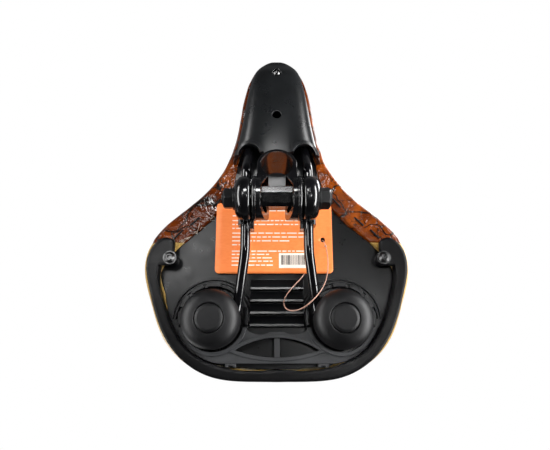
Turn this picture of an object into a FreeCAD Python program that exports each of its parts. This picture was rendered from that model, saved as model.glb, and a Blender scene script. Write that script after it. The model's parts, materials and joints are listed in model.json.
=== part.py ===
"""Bicycle saddle with elastomer suspension, two-bolt-nut seatpost clamp, rear bumper and swing tag.

Frame: millimetres, +X towards the nose, +Y to the rider's left, +Z up with the rails level.
The origin is the middle of the seatpost bore. Every sub-part is its own solid in its own STEP file.
"""

import FreeCAD
import Part

import math
import os

V = FreeCAD.Vector
X_AXIS, Y_AXIS, Z_AXIS = V(1, 0, 0), V(0, 1, 0), V(0, 0, 1)
ORIGIN = V(0, 0, 0)

# ---- driving dimensions -----------------------------------------------------------------------

# Seatpost collar: a 22.2 mm post, leaning as a 73 degree seat tube does under level rails.
POST_R = 11.1
POST_LEAN = 17.0
COLLAR_R = 13.6
COLLAR_HALF = 12.0
BOLT_OFFSET = 20.5
NECK_HALF = 5.8
EAR_Y = (11.0, 14.0)
EAR_R = 15.0
CHEEK_R = 9.8

# Clamp stack on the bolt, outwards from the middle.
BOLT_R = 4.0
BOLT_HALF = 37.4
SPACER_R = 7.0
RUNNING_GAP = 0.08
PLATE_R = 15.4
INNER_PLATE_Y = (14.1, 17.0)
INNER_LOBE_Y = (15.7, 20.9)
OUTER_PLATE_Y = (17.6, 28.4)
OUTER_LOBE_Y = (22.5, 26.6)
LOBE_HALF = 5.0
WASHER_Y = (28.4, 29.6)
NUT_Y = (29.6, 36.4)
NUT_FLATS = 13.0

# Rails: 7 mm rod, 43.4 mm between centres, with a running fit in the clamp's grooves.
RAIL_R = 3.5
RAIL_Y = 21.7
RAIL_RISE = 9.5

# Nose pivot: the rails' inturned front ends share a sleeve that turns in a block under the base.
PIVOT_X, PIVOT_Z = 84.0, 29.5
SLEEVE_R, SLEEVE_HALF = 5.5, 9.0

# Rear elastomers: a stiff dome that grips the rail's end, with a springing body above it.
SPRING_X, SPRING_Y = -98.8, 45.2
SPRING_R = 20.2
SPRING_LOW, SPRING_SPLIT = 3.0, 24.0
PLUG_R = 9.5

# Base plate, padding and cover.
BASE_Z = 36.5
BASE_THICK = 2.6
LOUVRE_HALF = 19.4
COVER_THICK = 1.4
HEM_Z = BASE_Z - COVER_THICK
SEAM_X, SEAM_Z = -41.0, 57.0

# Nose cover.
NOSE_REAR = 21.6
NOSE_WALL = 2.0
NOSE_HOLE_X, NOSE_SCREW_X = 54.0, 96.0
ARCH_X, ARCH_Y, ARCH_R = 20.4, 20.7, 8.4

# Bumper and rear bracket.
BUMPER_LOW = 24.5
TAB_THICK = 3.5
SCREW_X, SCREW_Y = -54.5, 77.3
BRACKET_Z = (28.5, 31.0)
CUP_R = 21.8
CUP_SPLIT_X = -103.5
FRONT_CUP_X, FRONT_CUP_R = -97.3, 22.6

# Swing tag: a card of 87 by 54 mm on a thread.
CARD_X, CARD_Y, CARD_Z = (-64.6, -10.6), (-45.6, 41.4), (33.0, 33.6)
CARD_HOLE = (-39.3, 34.3)
CARD_HOLE_R = 1.8
THREAD_R = 0.35

# Left half of each plan line, from the nose or the front end round to the rear.
HALF_OUTLINE = [
    (115.4, 0.0), (109.8, 13.8), (95.6, 22.9), (60.0, 30.2), (32.0, 36.6), (10.0, 48.0), (-16.0, 74.0),
    (-37.0, 94.5), (-57.0, 100.5), (-84.0, 94.6), (-112.0, 83.4), (-131.0, 63.0), (-139.6, 32.0), (-141.5, 0.0),
]
HALF_HEM = [
    (104.0, 0.0), (98.0, 11.0), (80.0, 17.0), (55.0, 22.4), (25.0, 30.0), (-3.0, 35.5), (-22.0, 48.0),
    (-42.0, 70.5), (-52.0, 80.0), (-66.0, 86.4), (-79.0, 84.4), (-92.6, 80.2), (-106.0, 74.0), (-115.8, 66.2),
    (-124.4, 53.4), (-129.2, 37.0), (-130.8, 18.0), (-131.0, 0.0),
]
BUMPER_OUTER = [
    (-39.5, 82.5), (-47.0, 91.0), (-58.5, 94.0), (-76.0, 91.0), (-96.5, 84.6), (-113.0, 76.5), (-128.0, 62.5),
    (-136.8, 45.5), (-139.8, 26.0), (-140.2, 0.0),
]
BUMPER_INNER = [
    (-39.5, 79.5), (-50.0, 82.5), (-66.0, 85.6), (-79.0, 83.0), (-92.6, 78.6), (-106.0, 72.2), (-116.0, 65.2),
    (-125.4, 52.2), (-130.8, 37.0), (-132.0, 0.0),
]
# Nose cover stations: x, half width at the rim, height of the lowest line.
NOSE_STATIONS = [
    (21.6, 33.6, 11.2), (36.0, 30.2, 12.2), (54.0, 27.0, 14.0), (70.0, 24.7, 16.5), (84.0, 22.3, 19.6),
    (96.0, 19.4, 24.1), (101.6, 17.2, 27.2), (106.4, 13.7, 30.6), (109.9, 9.6, 32.7), (112.4, 4.6, 34.2),
]

BOLT_X = -BOLT_OFFSET * math.cos(math.radians(POST_LEAN))
BOLT_Z = -BOLT_OFFSET * math.sin(math.radians(POST_LEAN))
RAIL_Z = BOLT_Z + RAIL_RISE

# The left rail's corners, nose to tail, and the bend radius at each inner one.
RAIL_PATH = [
    (PIVOT_X, 4.5, PIVOT_Z), (PIVOT_X, 15.5, PIVOT_Z), (27.0, 20.8, 21.0), (5.0, RAIL_Y, RAIL_Z),
    (-55.0, RAIL_Y, RAIL_Z), (-90.0, 27.2, 17.2), (-102.0, 30.0, 18.6), (-104.5, 42.0, 18.6),
]
RAIL_BENDS = [5.8, 30.0, 10.0, 24.0, 20.0, 7.0]

# The thread's corners: down from the card's hole, under a rail, back up and above the card to the hole.
THREAD_PATH = [
    (-39.3, 34.2, 35.3), (-39.6, 34.6, 31.8), (-45.0, 36.2, 29.9), (-55.0, 37.4, 27.2), (-67.4, 35.7, 17.8),
    (-78.2, 31.5, 6.4), (-87.6, 24.0, 1.6), (-93.9, 15.0, 5.0), (-93.6, 6.3, 12.0), (-86.0, 3.9, 20.2),
    (-76.6, 10.0, 26.6), (-67.6, 18.4, 33.9), (-57.0, 25.6, 35.5), (-46.0, 31.4, 35.0),
]
KNOT_AT, KNOT_R = (-44.6, 36.0, 30.1), 1.1


# ---- small helpers ----------------------------------------------------------------------------

def smooth(t):
    """0 to 1 with flat ends."""
    t = max(0.0, min(1.0, t))
    return t * t * (3 - 2 * t)


def mirrored(shape):
    """The same shape on the other side of the middle plane."""
    return shape.mirror(ORIGIN, Y_AXIS)


def box(x, y, z):
    """A box from its three (low, high) ranges."""
    return Part.makeBox(x[1] - x[0], y[1] - y[0], z[1] - z[0], V(x[0], y[0], z[0]))


def rod_x(radius, x0, x1, y, z):
    return Part.makeCylinder(radius, x1 - x0, V(x0, y, z), X_AXIS)


def rod_y(radius, y0, y1, x, z):
    return Part.makeCylinder(radius, y1 - y0, V(x, y0, z), Y_AXIS)


def rod_z(radius, z0, z1, x, y):
    return Part.makeCylinder(radius, z1 - z0, V(x, y, z0), Z_AXIS)


def tube_z(outer, inner, z0, z1, x, y):
    return rod_z(outer, z0, z1, x, y).cut(rod_z(inner, z0 - 1, z1 + 1, x, y))


def turned(profile, centre, axis):
    """Revolves a closed (radius, height) profile about an axis through centre."""
    wire = Part.makePolygon([V(r, 0, h) for r, h in profile] + [V(profile[0][0], 0, profile[0][1])])
    solid = Part.Face(wire).revolve(ORIGIN, Z_AXIS, 360)
    solid.Placement = FreeCAD.Placement(centre, FreeCAD.Rotation(Z_AXIS, axis))
    return solid


def path_wire(points, radii):
    """Straight runs joined by tangent arcs, one radius for each inner point."""
    edges, start = [], points[0]
    for before, corner, after, radius in zip(points, points[1:], points[2:], radii):
        a, b = (before - corner).normalize(), (after - corner).normalize()
        half = a.getAngle(b) / 2
        reach = radius / math.tan(half)
        first, last = corner + a * reach, corner + b * reach
        middle = corner + (a + b).normalize() * (radius / math.sin(half) - radius)
        edges += [Part.LineSegment(start, first).toShape(), Part.Arc(first, middle, last).toShape()]
        start = last
    edges.append(Part.LineSegment(start, points[-1]).toShape())
    return Part.Wire(edges)


def piped(points, radii, radius):
    """A round rod along a path."""
    wire = path_wire(points, radii)
    along = (points[1] - points[0]).normalize()
    ring = Part.Wire(Part.Circle(points[0], along, radius).toShape())
    return wire.makePipeShell([ring], True, False)


def free_bends(points, share=0.45):
    """The bend radii of a slack cord: each as large as its two runs allow."""
    radii = []
    for before, corner, after in zip(points, points[1:], points[2:]):
        turn = (corner - before).getAngle(after - corner)
        radii.append(share * min((corner - before).Length, (after - corner).Length) / math.tan(turn / 2))
    return radii


def button_screw(head_r, head_h, shank_r, length, x, y, z):
    """A button-head socket screw pointing up, its head's seat at height z."""
    dome = turned([(0, -head_h), (head_r * 0.55, -head_h), (head_r, -head_h * 0.35), (head_r, 0),
                   (0, 0)], V(x, y, z), Z_AXIS)
    socket = Part.Face(Part.makePolygon([
        V(x + head_r * 0.38 * math.cos(math.radians(60 * k)), y + head_r * 0.38 * math.sin(math.radians(60 * k)),
          z - head_h) for k in range(7)])).extrude(V(0, 0, head_h * 0.6))
    return dome.fuse(rod_z(shank_r, z, z + length, x, y)).cut(socket)


# ---- outline and the shells that follow it ----------------------------------------------------

def closed_curve(half):
    """A smooth closed curve through the left half's points and their mirror images."""
    left = [V(x, y, 0) for x, y in half]
    right = [V(x, -y, 0) for x, y in reversed(half[1:-1])]
    curve = Part.BSplineCurve()
    curve.interpolate(left + right, True)
    return curve


OUTLINE = closed_curve(HALF_OUTLINE)
REAR_PARAMETER = OUTLINE.parameter(V(*HALF_OUTLINE[-1], 0))


def rim(u, inset=0.0):
    """The plan point at a share u of the half outline, from nose 0 to rear 1, moved inwards by inset."""
    t = OUTLINE.FirstParameter + u * (REAR_PARAMETER - OUTLINE.FirstParameter)
    point, along = OUTLINE.value(t), V(*OUTLINE.tangent(t)[0])
    inward = V(-along.y, along.x, 0)
    if inward.dot(V(-30, 0, 0) - point) < 0:
        inward = -inward
    moved = point + inward * inset
    return V(moved.x, 0.0 if u in (0.0, 1.0) else moved.y, 0)


def prism(half, z0, z1):
    """An upright block with a closed plan line."""
    return Part.Face(Part.Wire(closed_curve(half).toShape())).extrude(V(0, 0, z1 - z0)).translated(V(0, 0, z0))


def inset_half(inset, count=24):
    points = [rim(k / count, inset) for k in range(count + 1)]
    return [(p.x, p.y) for p in points]


def tuck(x):
    """How far the cover's lower edge lies inside the widest line."""
    return 3.0 + 4.5 * smooth((40 - x) / 70)


def spine_x(x):
    """Where on the centre line the spoke to an outline point at x starts."""
    return -15 + 0.55 * (x + 12)


def crown_z(x):
    """Height of the seat's centre line: level at the nose, kicked up at the rear."""
    return 70 + 17 * smooth((20 - x) / 100)


def widest_z(x):
    return 47 + 6 * smooth((-20 - x) / 110)


def seat_point(u, s, inset, low):
    """A point of the seat's skin. s is -1 at the widest line's underside start, 0 at it, 1 on the centre line."""
    edge = rim(u)
    foot = V(spine_x(edge.x), 0, 0)
    spoke = edge - foot
    reach = spoke.Length - inset
    away = spoke.normalize()
    wide, crown = widest_z(edge.x), crown_z(foot.x) - inset
    if s <= 0:
        a = (1 + s) * math.pi / 2
        out, z = reach - tuck(edge.x) * (1 - math.sin(a)), wide - (wide - low) * math.cos(a)
    else:
        b = (1 - s) * math.pi / 2
        power = 2 / 2.35
        out, z = reach * math.sin(b) ** power, wide + (crown - wide) * math.cos(b) ** power
    point = foot + away * out
    return V(point.x, 0.0 if u in (0.0, 1.0) or s == 1 else point.y, z)


SHARES = [k / 36 for k in range(37)]
STATIONS = [-1 + k / 8 for k in range(8)] + [k / 12 for k in range(13)]


def seat_half(inset, low):
    """The left half of the padded seat's volume, moved inwards by inset, with a flat underside at low."""
    surface = Part.BSplineSurface()
    surface.interpolate([[seat_point(u, s, inset, low) for s in STATIONS] for u in SHARES])
    skin = surface.toShape()
    lower = [e for e in skin.Edges if e.BoundBox.YMax > 20]
    middle = [e for e in skin.Edges if e.BoundBox.YMax < 1]
    ends = [lower[0].Vertexes[0].Point, lower[0].Vertexes[-1].Point]
    base_line = Part.LineSegment(*ends).toShape()
    floor = Part.Face(Part.Wire(Part.__sortEdges__(lower + [base_line])))
    wall = Part.Face(Part.Wire(Part.__sortEdges__(middle + [base_line])))
    shell = Part.makeShell([skin, floor, wall])
    shell.sewShape()
    solid = Part.Solid(shell)
    if solid.Volume < 0:
        solid.reverse()
    return solid


# ---- soft parts -------------------------------------------------------------------------------

def make_soft_parts():
    """The printed cover, the plain side panel round the rear, and the padding inside them."""
    outside, inside = seat_half(0.0, HEM_Z), seat_half(COVER_THICK, BASE_Z)
    cover = outside.cut(inside).cut(prism(HALF_HEM, HEM_Z - 5, BASE_Z))
    cover = cover.cut(rod_z(4.6, HEM_Z - 5, BASE_Z + 1, SCREW_X, SCREW_Y))
    panel_zone = box((-200, SEAM_X), (-150, 150), (0, SEAM_Z))
    foam = inside.cut(box((-200, 200), (-150, 150), (0, BASE_Z + BASE_THICK)))
    halves = (cover.cut(panel_zone), cover.common(panel_zone), foam)
    return [half.fuse(mirrored(half)) for half in halves]


# ---- base and the hard parts fixed to it ------------------------------------------------------

def spring_centres():
    return ((SPRING_X, SPRING_Y), (SPRING_X, -SPRING_Y))


def make_base():
    """The moulded pan: cup walls round the elastomers, a louvred panel between them, screw bosses."""
    low = BASE_Z + 0.4
    base = prism(inset_half(9.3), BASE_Z, BASE_Z + BASE_THICK)
    front = box((CUP_SPLIT_X, 0), (-150, 150), (0, 60))
    for x, y in spring_centres():
        wall = tube_z(FRONT_CUP_R + 2.4, FRONT_CUP_R, BASE_Z - 8.5, low, FRONT_CUP_X, y)
        for k in range(12):
            notch = box((0, 40), (-1.4, 1.4), (BASE_Z - 10, BASE_Z - 4.4))
            notch.rotate(ORIGIN, Z_AXIS, 30 * k + 15)
            wall = wall.cut(notch.translated(V(FRONT_CUP_X, y, 0)))
        base = base.fuse(wall.common(front))
        for outer, depth in ((28.2, 2.6), (30.6, 1.8)):
            ring = tube_z(outer, outer - 1.1, BASE_Z - depth, low, x, y).common(box((-97, 0), (-150, 150), (0, 60)))
            base = base.fuse(ring.cut(box((-150, 0), (-LOUVRE_HALF - 0.6, LOUVRE_HALF + 0.6), (0, 60))))
    for k in range(4):
        x = -69.0 - 8.8 * k
        blade = [(x, low), (x, BASE_Z - 0.3), (x - 5.6, BASE_Z - 3.6), (x - 7.4, BASE_Z - 3.9), (x - 8.0, low)]
        blade = Part.Face(Part.makePolygon([V(px, -LOUVRE_HALF, pz) for px, pz in blade + blade[:1]]))
        base = base.fuse(blade.extrude(V(0, 2 * LOUVRE_HALF, 0)))
    for side in (1, -1):
        boss = rod_z(4.5, BUMPER_LOW + TAB_THICK, low, SCREW_X, side * SCREW_Y)
        base = base.fuse(boss)
        base = base.fuse(box((-62, 60), (side * 9 - 1, side * 9 + 1), (BASE_Z - 1.6, low)))
    base = base.fuse(rod_z(2.4, 27.6, low, NOSE_SCREW_X, 0))
    base = base.fuse(rod_z(6.0, CARD_Z[1] + 1.2, low, -30.0, -8.0))
    for side in (1, -1):
        base = base.cut(rod_z(2.0, 20, BASE_Z - 1, SCREW_X, side * SCREW_Y))
    return base.cut(rod_z(1.5, 20, BASE_Z - 1, NOSE_SCREW_X, 0))


def make_pivot_block():
    low = 22.8
    block = box((PIVOT_X - 7.5, PIVOT_X + 7.0), (-8.8, 8.8), (low, BASE_Z))
    toe = [e for e in block.Edges if e.BoundBox.XMin > PIVOT_X + 6 and e.BoundBox.ZMax < low + 0.1]
    block = block.makeChamfer(5.0, toe)
    return block.cut(rod_y(SLEEVE_R + RUNNING_GAP, -20, 20, PIVOT_X, PIVOT_Z))


def nose_solid(inset, x_back):
    """The nose cover's volume moved inwards by inset, its rear face at x_back and its top at the hem."""
    line = Part.BSplineCurve()
    line.interpolate([V(*station) for station in NOSE_STATIONS])
    t0, t1 = line.FirstParameter, line.LastParameter
    stations = [line.value(t0 + (t1 - t0) * k / 20) for k in range(21)]
    stations = [p for p in stations if p.z + inset < HEM_Z - 0.8]
    stations[0].x = x_back
    rows = []
    for p in stations:
        half, depth, row = p.y - inset, HEM_Z - p.z - inset, []
        for k in range(-12, 13):
            a = math.pi / 2 * k / 12
            row.append(V(p.x, half * math.copysign(abs(math.sin(a)) ** (2 / 3), a),
                         HEM_Z - depth * max(math.cos(a), 0.0) ** (2 / 3)))
        rows.append(row)
    surface = Part.BSplineSurface()
    surface.interpolate(rows)
    skin = surface.toShape()
    edges = {"rear": min(skin.Edges, key=lambda e: e.BoundBox.XMax),
             "tip": max(skin.Edges, key=lambda e: e.BoundBox.XMin),
             "left": max(skin.Edges, key=lambda e: e.BoundBox.YMin),
             "right": min(skin.Edges, key=lambda e: e.BoundBox.YMax)}
    chords = {}
    for name, row in (("rear", rows[0]), ("tip", rows[-1])):
        chords[name] = Part.LineSegment(row[0], row[-1]).toShape()
    faces = [Part.Face(Part.Wire(Part.__sortEdges__([edges[name], chords[name]]))) for name in chords]
    lid = Part.__sortEdges__([edges["left"], chords["rear"], edges["right"], chords["tip"]])
    shell = Part.makeShell([skin, Part.Face(Part.Wire(lid))] + faces)
    shell.sewShape()
    solid = Part.Solid(shell)
    if solid.Volume < 0:
        solid.reverse()
    return solid


def make_nose_cover():
    outer = nose_solid(0.0, NOSE_REAR)
    inner = nose_solid(NOSE_WALL, NOSE_REAR - 6)
    shell = outer.cut(inner)
    lip_zone = nose_solid(-2.4, NOSE_REAR).cut(nose_solid(0.9, NOSE_REAR - 6))
    for side in (1, -1):
        rim_band = tube_z(ARCH_R + 3.0, ARCH_R, 0, HEM_Z - 6, ARCH_X, side * ARCH_Y)
        shell = shell.fuse(lip_zone.common(rim_band))
        opening = rod_z(ARCH_R, 0, HEM_Z - 4, ARCH_X, side * ARCH_Y)
        opening = opening.fuse(box((0, ARCH_X), (side * ARCH_Y - ARCH_R, side * ARCH_Y + ARCH_R), (0, HEM_Z - 4)))
        shell = shell.cut(opening)
    shell = shell.cut(rod_z(3.4, 0, 30, NOSE_HOLE_X, 0))
    shell = shell.fuse(tube_z(4.0, 1.9, 23.6, 27.6, NOSE_SCREW_X, 0))
    return shell.cut(rod_z(1.9, 0, 40, NOSE_SCREW_X, 0)).cut(rod_z(3.2, 0, 24.6, NOSE_SCREW_X, 0))


def plan_band(outer, inner):
    """The face between two open half lines, closed across their front ends and the middle plane."""
    def line(points):
        curve = Part.BSplineCurve()
        curve.interpolate([V(x, y, 0) for x, y in points])
        return curve.toShape()
    ends = [Part.LineSegment(V(*outer[k], 0), V(*inner[k], 0)).toShape() for k in (0, -1)]
    return Part.Face(Part.Wire(Part.__sortEdges__([line(outer), ends[1], line(inner), ends[0]])))


def make_bumper():
    band = plan_band(BUMPER_OUTER, BUMPER_INNER).extrude(V(0, 0, HEM_Z - BUMPER_LOW)).translated(V(0, 0, BUMPER_LOW))
    tab = rod_z(5.4, BUMPER_LOW, BUMPER_LOW + TAB_THICK, SCREW_X, SCREW_Y)
    tab = tab.fuse(rod_z(4.0, BUMPER_LOW, BUMPER_LOW + TAB_THICK, -44.0, 78.6))
    for x0, x1, y0, y1 in ((SCREW_X, -44.0, 74.6, 84.0), (-44.0, -39.8, 78.6, 82.0),
                           (SCREW_X - 5.4, SCREW_X, SCREW_Y, SCREW_Y + 8.0)):
        tab = tab.fuse(box((x0, x1), (y0, y1), (BUMPER_LOW, BUMPER_LOW + TAB_THICK)))
    half = band.fuse(tab).cut(rod_z(2.3, 0, 50, SCREW_X, SCREW_Y))
    half = half.cut(rod_z(4.7, BUMPER_LOW + TAB_THICK, 60, SCREW_X, SCREW_Y))
    return half.fuse(mirrored(half)).removeSplitter()


def make_rear_bracket():
    """The plate behind the elastomers with its lens-shaped hole, and the crescents that cup them."""
    low, high = BRACKET_Z
    behind = box((-150, CUP_SPLIT_X - 0.3), (-150, 150), (0, 60))
    plate = box((-128.2, -106.8), (-37.3, 37.3), (low, high))
    for side in (1, -1):
        plate = plate.fuse(rod_z(30.6, low, high, -97.7, side * 37.3).common(behind))
    for side in (1, -1):
        plate = plate.cut(rod_z(15.0, 0, 60, -93.5, side * 12.0))
        plate = plate.cut(box((-104.4, -100), (side * 11 - 11, side * 11 + 11), (0, 60)))
    lens = rod_z(55, 0, 60, -165.8, 0).common(rod_z(90, 0, 60, -34.2, 0))
    wider = rod_z(57.4, 0, 60, -165.8, 0).common(rod_z(92.4, 0, 60, -34.2, 0))
    rim_wall = wider.cut(lens).common(box((-150, -100), (-60, 60), (low - 1.2, low + 0.5)))
    plate = plate.cut(lens).fuse(rim_wall.common(box((-128.2, -107), (-40, 40), (0, 60))))
    plate = plate.fuse(box((-126.0, -109.0), (-1.9, 1.9), (low, high)))
    for x, y in spring_centres():
        plate = plate.cut(rod_z(CUP_R, 0, 60, x, y))
        plate = plate.fuse(tube_z(CUP_R + 2.6, CUP_R, low - 1.5, BASE_Z, x, y).common(behind))
    return plate.removeSplitter()


def make_clip(side):
    hook = box((-130.7, -128.3), (side * 32 - 3.6, side * 32 + 3.6), (26.8, 31.6))
    return hook.cut(box((-133, -129.5), (side * 32 - 1.6, side * 32 + 1.6), (26, 30)))


def make_staple(middle, along):
    """The crown of one staple, lying on the hem."""
    crown = box((-4.6, 4.6), (-0.6, 0.6), (HEM_Z - 0.8, HEM_Z))
    crown.rotate(ORIGIN, Z_AXIS, along)
    return crown.translated(V(middle[0], middle[1], 0))


# ---- rails and elastomers ---------------------------------------------------------------------

def make_rail():
    return piped([V(*p) for p in RAIL_PATH], RAIL_BENDS, RAIL_R)


def make_sleeve():
    return rod_y(SLEEVE_R, -SLEEVE_HALF, SLEEVE_HALF, PIVOT_X, PIVOT_Z).cut(
        rod_y(RAIL_R, -SLEEVE_HALF - 1, SLEEVE_HALF + 1, PIVOT_X, PIVOT_Z))


def make_spring(rail):
    """The stiff dome with a socket for the rail's end, its flush plug, and the springing body above."""
    z, r = SPRING_LOW, SPRING_R
    cap = [(PLUG_R + 1.1 + (r - PLUG_R - 1.1) * (k / 9)) for k in range(10)]
    cap = [V(x, 0, z + 10.0 * (1 - (1 - min(1.0, x / r) ** 3.0) ** 0.5)) for x in cap]
    lift = cap[0].z - z
    shoulder = Part.BSplineCurve()
    shoulder.interpolate(cap)
    corners = [V(r, 0, SPRING_SPLIT), V(0, 0, SPRING_SPLIT), V(0, 0, z + 4), V(PLUG_R + 0.5, 0, z + 4),
               V(PLUG_R + 0.5, 0, z + lift + 0.5), cap[0]]
    sides = [Part.LineSegment(a, b).toShape() for a, b in zip([cap[-1]] + corners, corners)]
    dome = Part.Face(Part.Wire([shoulder.toShape()] + sides)).revolve(ORIGIN, Z_AXIS, 360)
    dome = dome.translated(V(SPRING_X, SPRING_Y, 0))
    plug = turned([(0, z), (PLUG_R - 2.0, z + 0.1), (PLUG_R - 0.5, z + lift), (PLUG_R, z + lift + 0.5),
                   (PLUG_R, z + 4), (0, z + 4)], V(SPRING_X, SPRING_Y, 0), Z_AXIS)
    s = SPRING_SPLIT
    body = turned([(0, s), (r, s), (r, s + 2.0), (r - 1.6, s + 4.0), (r, s + 6.0), (r, s + 7.5), (r - 1.6, s + 9.5),
                   (r - 0.6, BASE_Z - 0.2), (r - 0.6, BASE_Z), (0, BASE_Z)], V(SPRING_X, SPRING_Y, 0), Z_AXIS)
    return dome.cut(rail), plug, body


# ---- clamp ------------------------------------------------------------------------------------

def leaned(shape):
    """Turns a shape built about an upright bore to the post's lean."""
    shape.rotate(ORIGIN, Y_AXIS, -POST_LEAN)
    return shape


def make_collar():
    """The split ring round the post, its two round ears, and the gussets and cheeks between them."""
    h, back = COLLAR_HALF, -BOLT_OFFSET
    neck = [(0, COLLAR_R - 0.4), (-8.0, COLLAR_R - 0.2), (-11.5, EAR_Y[1]), (back, EAR_Y[1])]
    neck += [(x, -y) for x, y in reversed(neck)]
    neck = Part.Face(Part.makePolygon([V(x, y, -h) for x, y in neck + neck[:1]])).extrude(V(0, 0, 2 * h))
    ring = rod_z(COLLAR_R, -h, h, 0, 0)
    body = ring.makeFillet(1.2, [e for e in ring.Edges if e.BoundBox.ZLength < 0.01]).fuse(neck)
    for side in (1, -1):
        low, high = sorted((side * EAR_Y[0], side * EAR_Y[1]))
        body = body.fuse(rod_y(EAR_R, low, high, back, 0))
    body = body.cut(rod_z(POST_R, -30, 30, 0, 0)).cut(box((-60, -4), (-NECK_HALF, NECK_HALF), (-30, 30)))
    body = body.cut(box((-60, back + CHEEK_R), (-EAR_Y[0], EAR_Y[0]), (-30, 30)))
    cheek_y = EAR_Y[0] + 0.4
    for side in (1, -1):
        gusset = [(-9.4, NECK_HALF), (-9.4, cheek_y), (-17.0, cheek_y), (-15.0, 9.6), (-9.4, NECK_HALF)]
        gusset = Part.Face(Part.makePolygon([V(x, side * y, -h) for x, y in gusset])).extrude(V(0, 0, 2.0))
        wedge = [(cheek_y, -10.0), (cheek_y, 13.5), (5.6, 13.5), (cheek_y, -10.0)]
        wedge = Part.Face(Part.makePolygon([V(back - 16, side * y, z) for y, z in wedge])).extrude(V(16, 0, 0))
        low, high = sorted((side * 4.0, side * cheek_y))
        crescent = rod_y(EAR_R, low, high, back, 0).cut(rod_y(CHEEK_R, -20, 20, back, 0))
        body = body.fuse(gusset.cut(rod_z(POST_R, -30, 30, 0, 0))).fuse(wedge.common(crescent))
    body = body.removeSplitter()
    return leaned(body.cut(rod_y(BOLT_R + RUNNING_GAP, -30, 30, back, 0)))


def make_spacer():
    """A six-sided bar between the ears."""
    section = [(-7.0, -4.8), (-4.6, -5.8), (2.6, -6.6), (7.0, -6.1), (6.0, 5.0), (-7.0, 5.0), (-7.0, -4.8)]
    half = EAR_Y[0] - 0.5
    bar = Part.Face(Part.makePolygon([V(BOLT_X + x, -half, BOLT_Z + z) for x, z in section]))
    bar = bar.extrude(V(0, 2 * half, 0))
    bar = bar.makeFillet(0.4, [e for e in bar.Edges if e.BoundBox.YLength > half])
    return bar.cut(rod_y(BOLT_R, -20, 20, BOLT_X, BOLT_Z))


def rail_groove():
    return rod_x(RAIL_R + RUNNING_GAP, -100, 100, RAIL_Y, RAIL_Z)


def rounded_disc(y0, y1, near, far):
    """A disc on the bolt's axis with its two rims rounded by the given radii."""
    disc = rod_y(PLATE_R, y0, y1, BOLT_X, BOLT_Z)
    for y, radius in ((y0, near), (y1, far)):
        disc = disc.makeFillet(radius, [e for e in disc.Edges if abs(e.BoundBox.YMin - y) < 0.05
                                        and e.BoundBox.YLength < 0.1])
    return disc


def rail_lobe(back, front, y0, y1):
    lobe = box((BOLT_X - back, BOLT_X + front), (y0, y1), (RAIL_Z - LOBE_HALF, RAIL_Z + LOBE_HALF))
    return lobe.makeFillet(1.6, [e for e in lobe.Edges if e.Length > back])


def make_inner_plate():
    """The disc against the ear, with a tongue that holds the rail's inner side."""
    plate = rounded_disc(*INNER_PLATE_Y, 0.6, 2.0).fuse(rail_lobe(20.0, 15.5, *INNER_LOBE_Y))
    return plate.cut(rail_groove()).cut(rod_y(BOLT_R, 0, 60, BOLT_X, BOLT_Z))


def make_outer_plate():
    """The drum outside the rail, stepped back above for the inner plate's tongue."""
    drum = rounded_disc(*OUTER_PLATE_Y, 2.6, 6.6)
    room = box((-80, 40), (0, OUTER_LOBE_Y[0]), (RAIL_Z - LOBE_HALF - 0.4, 60))
    plate = drum.cut(room).fuse(rail_lobe(17.0, 16.0, *OUTER_LOBE_Y))
    return plate.cut(rail_groove()).cut(rod_y(BOLT_R, 0, 60, BOLT_X, BOLT_Z))


def make_nut(turn):
    low, high = NUT_Y
    corner = NUT_FLATS / math.sqrt(3)
    ring = [V(BOLT_X + corner * math.cos(math.radians(60 * k + turn)), low,
              BOLT_Z + corner * math.sin(math.radians(60 * k + turn))) for k in range(7)]
    hexagon = Part.Face(Part.makePolygon(ring)).extrude(V(0, high - low, 0))
    bevel = turned([(0, 0), (corner, 0), (corner, high - low - 1.4), (corner - 1.9, high - low), (0, high - low)],
                   V(BOLT_X, low, BOLT_Z), Y_AXIS)
    return hexagon.common(bevel).cut(rod_y(BOLT_R, 0, 60, BOLT_X, BOLT_Z))


# ---- swing tag --------------------------------------------------------------------------------

def make_card():
    card = box(CARD_X, CARD_Y, CARD_Z)
    card = card.makeFillet(3.0, [e for e in card.Edges if abs(e.BoundBox.ZLength - (CARD_Z[1] - CARD_Z[0])) < 1e-6])
    return card.cut(rod_z(CARD_HOLE_R, 0, 60, *CARD_HOLE))


def make_thread():
    """The thread, and the knot that it passes through."""
    points = [V(*p) for p in THREAD_PATH]
    radii = free_bends(points)
    runs = [(b - a).Length for a, b in zip(points, points[1:])]
    thread = piped(points, radii, THREAD_R)
    print("thread runs", [round(r, 1) for r in runs], "radii", [round(r, 1) for r in radii])
    print("thread length", round(thread.Volume / (math.pi * THREAD_R ** 2), 1))
    knot = Part.makeSphere(KNOT_R, V(*KNOT_AT))
    return thread, knot


# ---- export -----------------------------------------------------------------------------------

def both(name, shape):
    """A left part and its mirror image."""
    return {name + "_left": shape, name + "_right": mirrored(shape)}


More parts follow.
